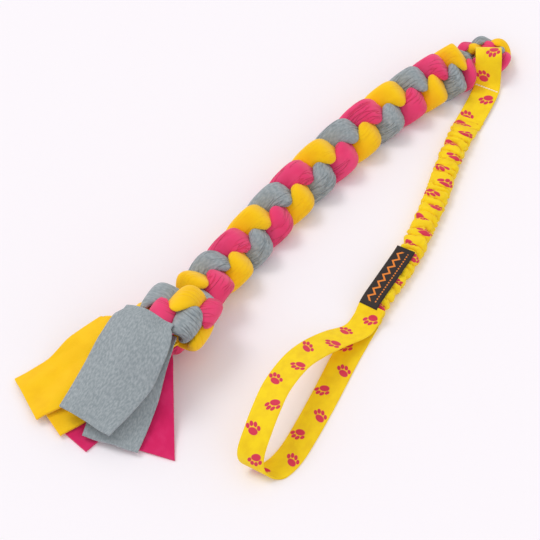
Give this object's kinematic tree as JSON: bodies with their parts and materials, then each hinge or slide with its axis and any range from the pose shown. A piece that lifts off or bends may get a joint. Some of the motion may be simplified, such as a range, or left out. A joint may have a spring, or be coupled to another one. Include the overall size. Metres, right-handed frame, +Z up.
{
  "type": "braided fleece tug toy",
  "caption": "Dog tug toy: three fleece strips plaited and knotted into a rope with flat tails, and a bungee handle with a gathered sleeve and a webbing hand loop.",
  "frame": {"origin": "centre of the toy's bounding box, on the floor it lies on", "axes": "+X along the braid from the knot to the bight, +Y across it away from the handle, +Z up"},
  "size_m": [0.611, 0.2404, 0.0774],
  "materials": {
    "fleece_yellow": "anti-pill fleece, matt",
    "fleece_pink": "anti-pill fleece, matt",
    "fleece_grey": "heathered anti-pill fleece, matt",
    "printed_webbing": "printed polyester, slight sheen",
    "thread": "sewing thread",
    "elastic": "rubber bungee, covered",
    "woven_label": "woven ribbon, satin"
  },
  "bodies": {
    "braid": {"braid_yellow": "fleece_yellow", "braid_pink": "fleece_pink", "braid_grey": "fleece_grey", "knot_yellow": "fleece_yellow", "knot_pink": "fleece_pink", "knot_grey": "fleece_grey", "bight_yellow": "fleece_yellow", "bight_pink": "fleece_pink", "bight_grey": "fleece_grey", "knot_core": "fleece_grey"},
    "handle": {"strap_eye": "printed_webbing", "eye_seam": "thread", "gathered_sleeve": "printed_webbing", "bungee_core": "elastic"},
    "grip": {"hand_loop": "printed_webbing", "label_tab": "woven_label"},
    "tail_pink_right": {"tail_pink_right": "fleece_pink"},
    "tail_pink_left": {"tail_pink_left": "fleece_pink"},
    "tail_yellow_lower": {"tail_yellow_lower": "fleece_yellow"},
    "tail_grey_lower": {"tail_grey_lower": "fleece_grey"},
    "tail_yellow_upper": {"tail_yellow_upper": "fleece_yellow"},
    "tail_grey_upper": {"tail_grey_upper": "fleece_grey"}
  },
  "joints": [
    {"name": "handle_pivot", "type": "hinge", "parent": "braid", "child": "handle", "pos_m": [0.26866, 0.05791, 0.0108], "axis": [-0.682, 0.7314, 0], "range_deg": [0, 80]},
    {"name": "bungee_stretch", "type": "slide", "parent": "handle", "child": "grip", "axis": [-0.9519, -0.3063, 0], "range_m": [0, 0.12], "stiffness_N_per_m": 150, "deforming": ["gathered_sleeve", "bungee_core"]},
    {"name": "tail_pink_right_lift", "type": "hinge", "parent": "braid", "child": "tail_pink_right", "pos_m": [-0.18499, 0.04182, 0.0493], "axis": [-0.2756, 0.9613, 0], "range_deg": [0, 8]},
    {"name": "tail_pink_left_lift", "type": "hinge", "parent": "tail_pink_right", "child": "tail_pink_left", "pos_m": [-0.18499, 0.04182, 0.0493], "axis": [-0.2756, 0.9613, 0], "range_deg": [0, 8]},
    {"name": "tail_yellow_lower_lift", "type": "hinge", "parent": "tail_pink_left", "child": "tail_yellow_lower", "pos_m": [-0.18499, 0.04182, 0.0493], "axis": [-0.2756, 0.9613, 0], "range_deg": [0, 8]},
    {"name": "tail_grey_lower_lift", "type": "hinge", "parent": "tail_yellow_lower", "child": "tail_grey_lower", "pos_m": [-0.18499, 0.04182, 0.0493], "axis": [-0.2756, 0.9613, 0], "range_deg": [0, 8]},
    {"name": "tail_yellow_upper_lift", "type": "hinge", "parent": "tail_grey_lower", "child": "tail_yellow_upper", "pos_m": [-0.18499, 0.04182, 0.0493], "axis": [-0.2756, 0.9613, 0], "range_deg": [0, 8]},
    {"name": "tail_grey_upper_lift", "type": "hinge", "parent": "tail_yellow_upper", "child": "tail_grey_upper", "pos_m": [-0.18499, 0.04182, 0.0493], "axis": [-0.2756, 0.9613, 0], "range_deg": [0, 40]}
  ]
}
